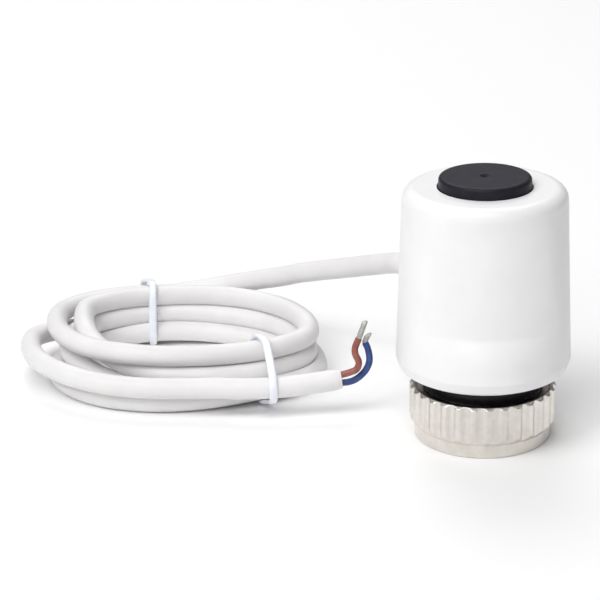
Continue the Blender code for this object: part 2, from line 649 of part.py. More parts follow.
def build_carriage(washer_bottom):
    """The closing spring, and what slides under it: plunger, carriage, stem and button."""
    plunger = turned("plunger", [
        (0.0, PLUNGER_HEAD_TOP),
        (PLUNGER_HEAD_RADIUS, PLUNGER_HEAD_TOP),
        (PLUNGER_HEAD_RADIUS, PLUNGER_HEAD_BOTTOM),
        (PLUNGER_RADIUS, PLUNGER_HEAD_BOTTOM),
        (PLUNGER_RADIUS, PLUNGER_TIP + 0.4 * MM),
        (PLUNGER_RADIUS - 0.4 * MM, PLUNGER_TIP),
        (0.0, PLUNGER_TIP),
    ], NATURAL_PLASTIC)
    carriage = turned("spring_carriage", [
        (0.0, CARRIAGE_HEAD_TOP),
        (CARRIAGE_RADIUS, CARRIAGE_HEAD_TOP),
        (CARRIAGE_RADIUS, CARRIAGE_SEAT_TOP),
        (CARRIAGE_SEAT_RADIUS, CARRIAGE_SEAT_TOP),
        (CARRIAGE_SEAT_RADIUS, CARRIAGE_SEAT_BOTTOM),
        (CARRIAGE_RADIUS, CARRIAGE_SEAT_BOTTOM),
        (CARRIAGE_RADIUS, PLUNGER_HEAD_TOP + CLEARANCE),
        (CARRIAGE_BORE, PLUNGER_HEAD_TOP + CLEARANCE),
        (CARRIAGE_BORE, CARRIAGE_HEAD_BOTTOM),
        (0.0, CARRIAGE_HEAD_BOTTOM),
    ], NATURAL_PLASTIC)
    slot_half_width = BRIDGE_HALF_WIDTH + 0.55 * MM
    slot = box_mesh("carriage_slot",
                    (-slot_half_width, -CARRIAGE_SEAT_RADIUS, BRIDGE_BOTTOM - STROKE - CLEARANCE),
                    (slot_half_width, CARRIAGE_SEAT_RADIUS, CARRIAGE_SEAT_BOTTOM - 0.6 * MM))
    cut(carriage, add_cutter("carriage_slot", slot))
    build_spring(CARRIAGE_SEAT_TOP + CLEARANCE, washer_bottom - CLEARANCE)
    foot_bottom = CARRIAGE_HEAD_TOP + CLEARANCE
    stem = turned("indicator_stem", [
        (0.0, BUTTON_CEILING - 0.4 * MM),
        (STEM_RADIUS, BUTTON_CEILING - 0.4 * MM),
        (STEM_RADIUS, foot_bottom + STEM_FOOT_HEIGHT),
        (STEM_FOOT_RADIUS, foot_bottom + STEM_FOOT_HEIGHT),
        (STEM_FOOT_RADIUS, foot_bottom),
        (0.0, foot_bottom),
    ], NATURAL_PLASTIC, steps=20)
    button = turned("indicator_button", [
        (0.0, BUTTON_TOP - DIMPLE_DEPTH),
        (DIMPLE_RADIUS, BUTTON_TOP),
        (BUTTON_TOP_RADIUS - 0.5 * MM, BUTTON_TOP),
        (BUTTON_TOP_RADIUS, BUTTON_TOP - 0.3 * MM),
        (BUTTON_SIDE_RADIUS, BUTTON_SHOULDER),
        (BUTTON_SIDE_RADIUS, BUTTON_FLANGE_TOP),
        (BUTTON_FLANGE_RADIUS, BUTTON_FLANGE_TOP),
        (BUTTON_FLANGE_RADIUS, BUTTON_BOTTOM),
        (BUTTON_BORE, BUTTON_BOTTOM),
        (BUTTON_BORE, BUTTON_CEILING),
        (0.0, BUTTON_CEILING),
    ], BLACK_PLASTIC, steps=FINE_STEPS)
    group_axis("plunger_axis", [plunger, carriage, stem, button], PLUNGER_TIP)


def build_gland():
    """Gland in the cover's wall, the clamp behind it and the held end of the lead."""
    gland = turned("cable_gland", [
        (GLAND_FLANGE_RADIUS - 0.8 * MM, GLAND_OUTER_FACE),
        (GLAND_FLANGE_RADIUS, GLAND_OUTER_FACE - 0.9 * MM),
        (GLAND_FLANGE_RADIUS, GLAND_OUTER_FLANGE),
        (GLAND_NECK_RADIUS, GLAND_OUTER_FLANGE),
        (GLAND_NECK_RADIUS, GLAND_INNER_FLANGE),
        (GLAND_FLANGE_RADIUS, GLAND_INNER_FLANGE),
        (GLAND_FLANGE_RADIUS, GLAND_INNER_FACE),
        (GLAND_BORE, GLAND_INNER_FACE),
        (GLAND_BORE, GLAND_OUTER_FACE),
    ], CABLE_WHITE, steps=24)
    aim_outward(gland)
    half = CLAMP_SIZE / 2
    clamp_mesh = box_mesh("cable_clamp", (-half, -half, CLAMP_INNER_FACE),
                          (half, half, CLAMP_INNER_FACE + CLAMP_THICKNESS))
    clamp = add_part("cable_clamp", clamp_mesh, STEEL)
    aim_outward(clamp)
    bore = rods_mesh("clamp_bore", GLAND_BORE, CLAMP_INNER_FACE - 1 * MM,
                     CLAMP_INNER_FACE + CLAMP_THICKNESS + 1 * MM, [(0.0, 0.0)], segments=16)
    bore_cutter = add_cutter("clamp_bore", bore)
    aim_outward(bore_cutter)
    cut(clamp, bore_cutter)
    stub = turned("cable_stub", [
        (0.0, GLAND_OUTER_FACE), (CABLE_RADIUS, GLAND_OUTER_FACE),
        (CABLE_RADIUS, STUB_INNER_FACE), (0.0, STUB_INNER_FACE),
    ], CABLE_WHITE, steps=16)
    aim_outward(stub)


def build_leads(low_strip, high_strip):
    """The two cores inside the cover, from the lead's end round to the contacts."""
    radius = STUB_INNER_FACE - CLEARANCE - LEAD_RADIUS
    lift = CONTACT_THICKNESS / 2 + CLEARANCE + LEAD_RADIUS
    steps = 9
    for name, side, strip, material in (
            ("live_lead", -1, low_strip, BROWN), ("neutral_lead", 1, high_strip, BLUE)):
        start_height = GLAND_HEIGHT + side * 1.2 * MM
        end_height = strip + lift
        end_azimuth = math.acos(side * CONTACT_OFFSET / radius)
        points = []
        for i in range(steps + 1):
            share = i / steps
            ease = share * share * (3 - 2 * share)
            azimuth = GLAND_AZIMUTH + share * (end_azimuth - GLAND_AZIMUTH)
            height = start_height + ease * (end_height - start_height)
            points.append((radius * math.cos(azimuth), radius * math.sin(azimuth), height))
        tube(name, points, LEAD_RADIUS, material, bevel_resolution=1)


def tie_loop(name, x, low_y, high_y):
    """A plastic wire tie round everything from low_y to high_y, in the plane across it at x."""
    centre_y = (low_y + high_y) / 2
    half_y = (high_y - low_y) / 2 + CLEARANCE + TIE_THICKNESS / 2
    low = TIE_THICKNESS / 2 + TIE_LIFT
    high = COIL_HEIGHT + CLEARANCE + TIE_THICKNESS / 2
    outer = rounded_rectangle(centre_y, half_y + TIE_THICKNESS / 2,
                              low - TIE_THICKNESS / 2, high + TIE_THICKNESS / 2, TIE_CORNER)
    inner = rounded_rectangle(centre_y, half_y - TIE_THICKNESS / 2,
                              low + TIE_THICKNESS / 2, high - TIE_THICKNESS / 2,
                              TIE_CORNER - TIE_THICKNESS)
    tie = outline_part(name, [outer, inner], TIE_WIDTH, TIE_WHITE)
    tie.rotation_euler = (math.pi / 2, 0.0, math.pi / 2)
    tie.location = (x, 0.0, 0.0)


def rounded_rectangle(centre_y, half_y, low, high, corner):
    """(y, z) points of an upright rectangle with round corners."""
    centres = (
        (centre_y + half_y - corner, high - corner, 0.0),
        (centre_y - half_y + corner, high - corner, math.pi / 2),
        (centre_y - half_y + corner, low + corner, math.pi),
        (centre_y + half_y - corner, low + corner, 1.5 * math.pi))
    arc_steps = 3
    points = []
    for y, z, start in centres:
        for i in range(arc_steps + 1):
            angle = start + math.pi / 2 * i / arc_steps
            points.append((y + corner * math.cos(angle), z + corner * math.sin(angle)))
    return points


def band_span(x, side):
    """Lowest and highest y of the coil's band on one side of its centre, near a tie at x."""
    margin = TIE_WIDTH / 2 + CLEARANCE
    spans = []
    for half_x, half_y in (COIL_HALF_SIZE, [half - COIL_BAND for half in COIL_HALF_SIZE]):
        for edge_x in (x - margin, x + margin):
            across = (edge_x - COIL_CENTRE[0]) / half_x
            spans.append(COIL_CENTRE[1] + side * half_y * math.sqrt(1 - across * across))
    return min(spans), max(spans)


def build_lead():
    """The lead outside the cover: run, coil with its ties, tail and stripped cores."""
    tube("cable_run", smooth_route(RUN_KNOTS_MM, 2), CABLE_RADIUS, CABLE_WHITE)
    half_x, half_y = COIL_HALF_SIZE
    coil = outline_part("cable_coil", [
        oval(half_x, half_y), oval(half_x - COIL_BAND, half_y - COIL_BAND),
    ], COIL_HEIGHT, CABLE_WHITE)
    coil.location = (0.0, 0.0, COIL_HEIGHT / 2)
    coil = make_mesh(coil)
    tail_near_y = TAIL_KNOTS_MM[1][1] * MM - CABLE_RADIUS
    slot_half_width = TIE_WIDTH / 2 + CLEARANCE
    for name, x, side in (("tie_rear", TIE_REAR_X, 1), ("tie_front", TIE_FRONT_X, -1)):
        low_y, high_y = band_span(x, side)
        slot = box_mesh(f"{name}_slot",
                        (x - slot_half_width, low_y - TIE_SLOT_REACH, -1 * MM),
                        (x + slot_half_width, high_y + TIE_SLOT_REACH,
                         TIE_THICKNESS + TIE_LIFT + CLEARANCE))
        cut(coil, add_cutter(f"{name}_slot", slot))
        if side < 0:
            low_y = min(low_y, tail_near_y)
        tie_loop(name, x, low_y, high_y)
    tube("cable_tail", smooth_route(TAIL_KNOTS_MM, 2), CABLE_RADIUS, CABLE_WHITE)
    tube("brown_core", smooth_route(BROWN_KNOTS_MM, 2), CORE_RADIUS, BROWN)
    tube("brown_core_tip", smooth_route(BROWN_TIP_KNOTS_MM, 2), STRAND_RADIUS, TIN)
    tube("blue_core", smooth_route(BLUE_KNOTS_MM, 2), CORE_RADIUS, BLUE)
    tube("blue_core_tip", smooth_route(BLUE_TIP_KNOTS_MM, 2), STRAND_RADIUS, TIN)


clear_scene()
PARTS = new_collection("actuator_head")
CUTTERS = new_collection("cutters")

WHITE_PLASTIC = make_material("cover_white", (0.86, 0.86, 0.87), 0.3)
BLACK_PLASTIC = make_material("moulded_black", (0.03, 0.03, 0.036), 0.42)
NATURAL_PLASTIC = make_material("natural_nylon", (0.72, 0.69, 0.6), 0.45)
CABLE_WHITE = make_material("cable_white", (0.78, 0.76, 0.74), 0.45)
TIE_WHITE = make_material("tie_white", (0.82, 0.84, 0.9), 0.35)
NICKEL = make_material("nickel_plate", (0.68, 0.65, 0.6), 0.3, 1.0)
BRASS = make_material("brass", (0.72, 0.53, 0.24), 0.35, 1.0)
STEEL = make_material("steel", (0.56, 0.57, 0.58), 0.3, 1.0)
COPPER = make_material("copper_alloy", (0.75, 0.42, 0.28), 0.35, 1.0)
TIN = make_material("tinned_copper", (0.7, 0.7, 0.68), 0.35, 1.0)
RUBBER = make_material("seal_rubber", (0.02, 0.02, 0.02), 0.7)
CERAMIC = make_material("heater_ceramic", (0.1, 0.1, 0.1), 0.6)
BROWN = make_material("core_brown", (0.24, 0.09, 0.05), 0.45)
BLUE = make_material("core_blue", (0.05, 0.12, 0.38), 0.45)

SCREW_HOLES = add_cutter("screw_holes", rods_mesh(
    "screw_holes", SCREW_SHANK_RADIUS + 0.35 * MM, BASE_TOP - 2.5 * MM,
    FRAME_FLANGE_TOP + 1 * MM, on_circle(SCREW_CIRCLE, SCREW_COUNT, math.pi / 6)))

group_axis("nut_axis", [build_union_nut()])
build_base()
build_cover()
WASHER_BOTTOM = build_frame()
LOW_STRIP, HIGH_STRIP = build_heat_motor()
build_carriage(WASHER_BOTTOM)
build_gland()
build_leads(LOW_STRIP, HIGH_STRIP)
build_lead()
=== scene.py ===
"""Looks of the thermal actuator head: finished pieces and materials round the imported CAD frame.

Sizes here are in millimetres and MM turns them into the frame's metres. Angles are in radians.
Z is up, the head stands on its union nut, and the lead lies coiled beside it on the floor.
"""

import math

import bmesh
import bpy
import numpy as np
from mathutils import Matrix, Vector


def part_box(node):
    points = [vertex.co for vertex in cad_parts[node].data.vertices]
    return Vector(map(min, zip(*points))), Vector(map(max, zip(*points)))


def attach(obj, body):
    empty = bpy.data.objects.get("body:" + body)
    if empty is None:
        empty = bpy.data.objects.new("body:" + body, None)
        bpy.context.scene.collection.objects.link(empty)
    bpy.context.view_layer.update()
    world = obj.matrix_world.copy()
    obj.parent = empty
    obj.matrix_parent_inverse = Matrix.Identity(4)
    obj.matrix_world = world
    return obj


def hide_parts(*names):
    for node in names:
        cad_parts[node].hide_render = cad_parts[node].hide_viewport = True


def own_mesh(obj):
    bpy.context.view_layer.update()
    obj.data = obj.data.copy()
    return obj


MM = 0.001

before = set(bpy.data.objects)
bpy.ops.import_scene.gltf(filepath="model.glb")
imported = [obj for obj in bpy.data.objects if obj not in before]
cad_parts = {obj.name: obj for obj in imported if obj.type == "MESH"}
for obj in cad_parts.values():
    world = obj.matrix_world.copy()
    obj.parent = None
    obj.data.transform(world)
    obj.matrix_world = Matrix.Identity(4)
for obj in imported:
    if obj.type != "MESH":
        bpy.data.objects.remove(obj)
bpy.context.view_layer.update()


def box_mm(node):
    """Lowest and highest corner of a CAD node, in millimetres."""
    low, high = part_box(node)
    return low / MM, high / MM


# Driving sizes, taken from the frame where a CAD node has them.
COVER_LOW, COVER_HIGH = box_mm("outer_cover")
NUT_HIGH = box_mm("union_nut")[1]
BUTTON_LOW, BUTTON_HIGH = box_mm("indicator_button")
STEM_HIGH = box_mm("indicator_stem")[1]
SPRING_LOW, SPRING_HIGH = box_mm("closing_spring")

# Cover: tapered cup with a rounded lower edge and a scooped front panel.
COVER_WIDE_RADIUS = COVER_HIGH.x
COVER_WIDE_HEIGHT = COVER_LOW.z + 3.2
COVER_NARROW_RADIUS = 20.45
COVER_EDGE_RADIUS = 20.4
COVER_FILLET = 3.0
COVER_HOLE_RADIUS = 11.85
COVER_INNER_RADIUS = 18.7
COVER_CEILING = COVER_HIGH.z - 1.6
PANEL_FLATNESS = 1.2
PANEL_LOW_HALF_WIDTH = 17.8
PANEL_HIGH_HALF_WIDTH = 12.0
PANEL_CREASE = 32.3
PANEL_TOP = 65.5
PANEL_TOP_FADE = 8.0
PANEL_SLOPE = 6.2
PANEL_CREASE_BLEND = 0.08
PANEL_EDGE_BLEND = 0.07
SKIN_MARGIN = 0.7
COVER_COLUMNS = 288

# Union nut: plain collar, shallow flutes, dished top and an M30 x 1.5 thread.
NUT_CREST_RADIUS = NUT_HIGH.y
NUT_COLLAR_RADIUS = 17.25
NUT_COLLAR_HEIGHT = 3.4
NUT_TOP_DISH = 1.0
NUT_LIP_RADIUS = 12.65
NUT_LIP_BOTTOM = 10.2
NUT_CREST_START = 4.9
NUT_DISH_RADIUS = 16.8
NUT_RIM_RADIUS = 17.1
NUT_COLUMNS = 360
FLUTE_COUNT = 30
FLUTE_DEPTH = 0.7
FLUTE_RADIUS = 1.6
FLUTE_EDGE_BLEND = 0.06
FLUTED_OUTSIDE_RADIUS = 16.95
THREAD_PITCH = 1.5
THREAD_CREST_RADIUS = 14.3
THREAD_DEPTH = 0.7
THREAD_START = 0.6
THREAD_RUN_OUT = 0.8

# Indicator button: shallow cup with a flange, over the head of the stem.
BUTTON_TOP_RADIUS = 11.42
BUTTON_SIDE_RADIUS = 11.6
BUTTON_SIDE_DROP = 3.0
BUTTON_BORE_RADIUS = 10.9
BUTTON_FLANGE_THICKNESS = 0.7
BUTTON_STEM_GAP = 0.4
BUTTON_COLUMNS = 160
DIMPLE_DEPTH = 0.6
DIMPLE_FLOOR_RADIUS = 0.45
DIMPLE_RIM_RADIUS = 1.4

# Cable gland, by its radii and its distances from the head's axis.
GLAND_BORE_RADIUS = 3.05
GLAND_FLANGE_RADIUS = 4.5
GLAND_NECK_RADIUS = 3.7
GLAND_COLLAR_RADIUS = 4.6
GLAND_INNER_END = 16.9
GLAND_FLANGE_END = 17.8
GLAND_COLLAR_START = 21.8
GLAND_OUTER_END = 23.9
GLAND_COLUMNS = 64

# Closing spring, with a nearly flat part turn at each end.
SPRING_WIRE_RADIUS = 0.8
SPRING_TURNS = 5.5
SPRING_STEPS = 36
SPRING_END_TURN = 0.75
SPRING_END_PITCH = 0.08
SPRING_END_RISE = 0.12

# Lead: cable, coil, cores and wire ties.
CABLE_DIAMETER = 5.6
CABLE_RADIUS = CABLE_DIAMETER / 2
CORE_RADIUS = 0.88
TIP_RADIUS = 0.72
EXIT_AZIMUTH = math.radians(135)
EXIT_HEIGHT = 38.3
EXIT_RADIUS = 24.0
TIE_WIDTH = 2.1
TIE_THICKNESS = 1.1
TIE_CLEARANCE = 0.32
TIE_LOOSENESS = 0.5
TIE_END_RADIUS = 0.42
TIE_END_TWIST_RADIUS = 0.4

RUN_KNOTS = [
    (-19.2, 20.4, 38.3), (-21.2, 26.7, 36.4), (-25.6, 36.4, 32.6), (-31.8, 46.0, 28.5),
    (-39.2, 55.0, 24.6), (-47.6, 62.6, 21.0), (-56.6, 68.8, 18.1), (-66.0, 72.6, 15.5),
]
TAIL_KNOTS = [
    (-66.0, 11.8, 8.1), (-59.6, 11.0, 8.2), (-52.0, 10.8, 8.5), (-44.0, 11.3, 9.1),
    (-35.6, 12.0, 10.0),
]
BROWN_KNOTS = [
    (-37.0, 11.7, 10.9), (-35.2, 11.5, 11.5), (-33.3, 11.6, 12.0), (-31.6, 11.7, 12.8),
    (-31.0, 12.0, 14.6), (-31.9, 12.3, 16.8), (-31.9, 12.4, 18.6), (-30.9, 12.6, 21.1),
]
BROWN_TIP = [(-31.2, 12.5, 20.3), (-30.9, 12.6, 21.1), (-29.3, 13.2, 25.3)]
BLUE_KNOTS = [
    (-37.0, 12.1, 9.0), (-35.1, 12.2, 8.9), (-33.3, 12.3, 9.1), (-31.3, 12.7, 9.9),
    (-29.2, 13.1, 11.9), (-28.2, 13.5, 14.4), (-28.5, 14.0, 17.2), (-29.3, 14.4, 19.2),
]
BLUE_TIP = [(-28.9, 14.2, 18.5), (-29.25, 14.5, 19.3), (-28.4, 15.2, 21.0)]


# ---------------------------------------------------------------- materials

def node_tree(name):
    """A new material with a Principled shader: (material, nodes, links, shader)."""
    material = bpy.data.materials.new(name)
    material.use_nodes = True
    nodes = material.node_tree.nodes
    return material, nodes, material.node_tree.links, nodes["Principled BSDF"]


def noise(nodes, links, place, scale, detail=3.0, stretch=(1.0, 1.0, 1.0)):
    """Noise over the object's own coordinates, in millimetres times scale, stretched by axis."""
    mapping = nodes.new("ShaderNodeMapping")
    mapping.inputs["Scale"].default_value = [scale * part / MM for part in stretch]
    links.new(place.outputs["Object"], mapping.inputs["Vector"])
    texture = nodes.new("ShaderNodeTexNoise")
    texture.inputs["Scale"].default_value = 1.0
    texture.inputs["Detail"].default_value = detail
    links.new(mapping.outputs["Vector"], texture.inputs["Vector"])
    return texture.outputs["Fac"]


def spread(nodes, links, value, low, high):
    """Maps noise's middle range onto low to high."""
    node = nodes.new("ShaderNodeMapRange")
    node.inputs["From Min"].default_value = 0.3
    node.inputs["From Max"].default_value = 0.7
    node.inputs["To Min"].default_value = low
    node.inputs["To Max"].default_value = high
    links.new(value, node.inputs["Value"])
    return node.outputs["Result"]


def tinted(nodes, links, value, first, second):
    """Mixes two colours by a value."""
    mix = nodes.new("ShaderNodeMix")
    mix.data_type = "RGBA"
    mix.inputs["A"].default_value = (*first, 1.0)
    mix.inputs["B"].default_value = (*second, 1.0)
    links.new(value, mix.inputs["Factor"])
    return mix.outputs["Result"]


def bumped(nodes, links, heights, shader):
    """Chains bump nodes for (height, distance in millimetres) pairs into the shader."""
    before = None
    for height, distance in heights:
        bump = nodes.new("ShaderNodeBump")
        bump.inputs["Distance"].default_value = distance * MM
        links.new(height, bump.inputs["Height"])
        if before is not None:
            links.new(before, bump.inputs["Normal"])
        before = bump.outputs["Normal"]
    links.new(before, shader.inputs["Normal"])


def surface(name, first, second, rough, metallic=0.0, mottle=0.15, grain=2.5, depth=0.01,
            stretch=(1.0, 1.0, 1.0), specular=0.5, subsurface=0.0):
    """A moulded, drawn or plated finish: mottled colour and roughness with a fine bump."""
    material, nodes, links, shader = node_tree(name)
    place = nodes.new("ShaderNodeTexCoord")
    cloudy = noise(nodes, links, place, mottle, 4.0)
    fine = noise(nodes, links, place, grain, 3.0, stretch)
    links.new(tinted(nodes, links, spread(nodes, links, cloudy, 0.0, 1.0), first, second),
              shader.inputs["Base Color"])
    links.new(spread(nodes, links, fine, *rough), shader.inputs["Roughness"])
    shader.inputs["Metallic"].default_value = metallic
    shader.inputs["Specular IOR Level"].default_value = specular
    if subsurface:
        shader.inputs["Subsurface Weight"].default_value = subsurface
        shader.inputs["Subsurface Radius"].default_value = (1.2, 1.0, 0.8)
        shader.inputs["Subsurface Scale"].default_value = 0.6 * MM
    bumped(nodes, links, [(fine, depth), (cloudy, depth * 2)], shader)
    return material


def make_finishes():
    """The finish of each material slot in the record."""
    return {
        "cover_white": surface("cover_white", (0.865, 0.86, 0.87), (0.905, 0.9, 0.91),
                               (0.3, 0.38), mottle=0.08, grain=6.0, depth=0.0025),
        "moulded_black": surface("moulded_black", (0.017, 0.016, 0.023), (0.023, 0.022, 0.03),
                                 (0.34, 0.44), mottle=0.4, grain=9.0, depth=0.006,
                                 specular=0.1),
        "natural_nylon": surface("natural_nylon", (0.68, 0.65, 0.56), (0.74, 0.71, 0.63),
                                 (0.4, 0.5), subsurface=0.1),
        "nickel_plate": surface("nickel_plate", (0.7, 0.66, 0.61), (0.78, 0.75, 0.71),
                                (0.23, 0.36), metallic=1.0, mottle=0.5, grain=7.0,
                                depth=0.006),
        "brass": surface("brass", (0.66, 0.47, 0.2), (0.76, 0.58, 0.28), (0.28, 0.42),
                         metallic=1.0, grain=5.0, stretch=(1.0, 1.0, 6.0)),
        "steel": surface("steel", (0.52, 0.53, 0.54), (0.62, 0.63, 0.64), (0.25, 0.4),
                         metallic=1.0, grain=5.0),
        "copper_alloy": surface("copper_alloy", (0.7, 0.38, 0.24), (0.8, 0.5, 0.34),
                                (0.3, 0.42), metallic=1.0, grain=4.0),
        "tinned_copper": surface("tinned_copper", (0.46, 0.45, 0.43), (0.62, 0.61, 0.59),
                                 (0.35, 0.55), metallic=0.85, mottle=1.2, grain=6.0,
                                 depth=0.03),
        "seal_rubber": surface("seal_rubber", (0.018, 0.018, 0.018), (0.03, 0.03, 0.03),
                               (0.6, 0.75), grain=4.0, depth=0.02),
        "heater_ceramic": surface("heater_ceramic", (0.08, 0.08, 0.08), (0.13, 0.12, 0.12),
                                  (0.55, 0.7), mottle=0.8, grain=5.0, depth=0.02),
        "cable_white": surface("cable_white", (0.775, 0.76, 0.765), (0.82, 0.81, 0.81),
                               (0.42, 0.52), mottle=0.12, grain=3.0, depth=0.006,
                               subsurface=0.15),
        "tie_white": surface("tie_white", (0.84, 0.865, 0.95), (0.89, 0.91, 0.97),
                             (0.3, 0.4), mottle=0.6, grain=5.0, depth=0.008),
        "core_brown": surface("core_brown", (0.24, 0.065, 0.045), (0.35, 0.13, 0.105),
                              (0.35, 0.5), mottle=0.5, grain=4.0, depth=0.015),
        "core_blue": surface("core_blue", (0.02, 0.052, 0.2), (0.045, 0.095, 0.28),
                             (0.35, 0.5), mottle=0.5, grain=4.0, depth=0.015),
    }


# ---------------------------------------------------------------- mesh tools

def add_mesh(name, vertices, faces, slot, body="housing"):
    """A smooth-shaded mesh piece, from points in millimetres, that rides on a body."""
    mesh = bpy.data.meshes.new(name)
    mesh.from_pydata((np.asarray(vertices) * MM).tolist(), [], faces)
    shape = bmesh.new()
    shape.from_mesh(mesh)
    bmesh.ops.recalc_face_normals(shape, faces=shape.faces)
    shape.to_mesh(mesh)
    shape.free()
    mesh.shade_smooth()
    return add_piece(name, mesh, slot, body)


def add_piece(name, data, slot, body="housing"):
    """Links a piece, gives it its slot's finish and lets it ride on a body."""
    piece = bpy.data.objects.new(name, data)
    bpy.context.scene.collection.objects.link(piece)
    data.materials.append(FINISHES[slot])
    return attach(piece, body)


def rounded(corner, before, after, fillet, turn=math.radians(15)):
    """Points of the arc that rounds a corner between its neighbours."""
    toward, onward = (before - corner).normalized(), (after - corner).normalized()
    half = toward.angle(onward) / 2
    reach = fillet / math.tan(half)
    middle = corner + (toward + onward).normalized() * fillet / math.sin(half)
    start, end = corner + toward * reach - middle, corner + onward * reach - middle
    sweep = math.atan2(start.x * end.y - start.y * end.x, start.dot(end))
    steps = max(3, math.ceil(abs(sweep) / turn))
    return [middle + Matrix.Rotation(sweep * i / steps, 2) @ start for i in range(steps + 1)]


def outline(corners, edge=0.07):
    """Points (radius, height) through corners of (radius, height, fillet, step after it).

    Straight stretches get a point close to each end, so that smooth shading stays flat there.
    """
    groups = []
    for i, (radius, height, fillet, step) in enumerate(corners):
        corner = Vector((radius, height))
        if fillet:
            before = Vector(corners[i - 1][:2])
            after = Vector(corners[(i + 1) % len(corners)][:2])
            groups.append((rounded(corner, before, after, fillet), step))
        else:
            groups.append(([corner], step))
    points = []
    for i, (arc, step) in enumerate(groups):
        points += arc
        start, end = arc[-1], groups[(i + 1) % len(groups)][0][0]
        length = (end - start).length
        closes_on_axis = i == len(groups) - 1 and start.x == 0.0 and end.x == 0.0
        if length < 3 * edge or closes_on_axis:
            continue
        count = max(1, round(length / step)) if step else 1
        places = {edge, length - edge, *(length * k / count for k in range(1, count))}
        points += [start.lerp(end, place / length) for place in sorted(places)]
    return points


def spin(name, corners, columns, slot, body="housing", shape=None):
    """A closed solid: the outline turned round Z. shape(radius, height, azimuths) moves radii."""
    azimuths = np.arange(columns) * 2 * math.pi / columns
    cosines, sines = np.cos(azimuths), np.sin(azimuths)
    vertices, rows = [], []
    for radius, height in outline(corners):
        if radius < 1e-6:
            rows.append([len(vertices)])
            vertices.append((0.0, 0.0, height))
            continue
        radii = np.full(columns, radius)
        if shape is not None:
            radii = shape(radii, height, azimuths)
        rows.append(list(range(len(vertices), len(vertices) + columns)))
        vertices += list(zip(radii * cosines, radii * sines, np.full(columns, height)))
    faces = []
    for first, second in zip(rows, rows[1:] + rows[:1]):
        if len(first) == 1 and len(second) == 1:
            continue
        for i in range(columns):
            j = (i + 1) % columns
            ring = [first[i % len(first)], first[j % len(first)],
                    second[j % len(second)], second[i % len(second)]]
            faces.append(list(dict.fromkeys(ring)))
    return add_mesh(name, vertices, faces, slot, body)


def smooth_route(knots, samples):
    """Points on a smooth curve through the knots, each span split into equal samples."""
    knots = [np.array(knot, float) for knot in knots]
    padded = [2 * knots[0] - knots[1], *knots, 2 * knots[-1] - knots[-2]]
    points = []
    for i in range(1, len(padded) - 2):
        before, start, end, after = padded[i - 1:i + 3]
        for step in range(samples):
            t = step / samples
            points.append(0.5 * (
                2 * start + (end - before) * t
                + (2 * before - 5 * start + 4 * end - after) * t ** 2
                + (3 * start - before - 3 * end + after) * t ** 3))
    points.append(knots[-1])
    return np.array(points)


def evenly(points, spacing):
    """The same route with its points at an even spacing."""
    along = np.r_[0.0, np.cumsum(np.linalg.norm(np.diff(points, axis=0), axis=1))]
    places = np.linspace(0.0, along[-1], int(round(along[-1] / spacing)) + 1)
    return np.stack([np.interp(places, along, points[:, axis]) for axis in range(3)], axis=1)


def wire(name, points, radius, slot, radii=None, round_steps=6):
    """A round cord or core along points, as a curve whose own line is its centreline."""
    curve = bpy.data.curves.new(name, "CURVE")
    curve.dimensions = "3D"
    curve.bevel_depth = radius * MM
    curve.bevel_resolution = round_steps
    curve.use_fill_caps = True
    spline = curve.splines.new("POLY")
    spline.points.add(len(points) - 1)
    for i, (target, point) in enumerate(zip(spline.points, points)):
        target.co = (*(float(part) * MM for part in point), 1.0)
        target.radius = 1.0 if radii is None else radii[i]
    spline.use_smooth = True
    return add_piece(name, curve, slot)


# ---------------------------------------------------------------- the lead

class Coil:
    """Where each quarter turn of the coil passes: back, left, front and right in turn.

    A station is the point where the cable crosses one of the oval's two axes. The list is given
    one row a turn, because the turns lie loosely on and beside each other.
    """

    EXPONENT = 2.06
    QUARTER_SAMPLES = 12
    TURNS = [
        [(-82.0, 74.0, 12.6), (-113.2, 53.5, 13.8), (-80.0, 22.0, 14.2), (-43.6, 39.3, 13.5)],
        [(-76.0, 67.8, 13.9), (-105.8, 54.5, 14.4), (-76.0, 21.3, 8.6), (-43.6, 38.8, 8.0)],
        [(-78.0, 66.4, 8.4), (-109.6, 47.5, 8.8), (-78.0, 23.5, 3.2), (-47.8, 41.0, 2.8)],
        [(-78.0, 65.2, 2.8), (-112.2, 42.0, 2.8), (-80.0, 16.0, 2.8), (-42.0, 40.0, 2.8)],
        [(-80.0, 71.4, 2.8), (-120.0, 47.0, 9.4), (-78.0, 13.6, 8.2)],
    ]

    @classmethod
    def points(cls):
        """Points round all the turns, as quarter ovals between the stations."""
        stations = [np.array(station, float) for turn in cls.TURNS for station in turn]
        power = 2 / cls.EXPONENT
        points = []
        for i in range(len(stations) - 1):
            start, end = stations[i], stations[i + 1]
            before, after = stations[max(i - 1, 0)], stations[min(i + 2, len(stations) - 1)]
            for step in range(cls.QUARTER_SAMPLES):
                t = step / cls.QUARTER_SAMPLES
                far = math.sin(t * math.pi / 2) ** power
                near = math.cos(t * math.pi / 2) ** power
                if i % 2 == 0:
                    x = start[0] + (end[0] - start[0]) * far
                    y = end[1] + (start[1] - end[1]) * near
                else:
                    x = end[0] + (start[0] - end[0]) * near
                    y = start[1] + (end[1] - start[1]) * far
                z = 0.5 * (2 * start[2] + (end[2] - before[2]) * t
                           + (2 * before[2] - 5 * start[2] + 4 * end[2] - after[2]) * t ** 2
                           + (3 * start[2] - before[2] - 3 * end[2] + after[2]) * t ** 3)
                points.append((x, y, z))
        points.append(stations[-1])
        return np.array(points)


# Each tie's middle, its heading, how far its back is skewed and where on top the skew starts.
TIE_PLACES = {
    "tie_rear": ((-87.0, 68.0), math.radians(-3), 4.6, 0.3),
    "tie_front": ((-54.4, 18.0), math.radians(7), 4.4, 0.6),
}


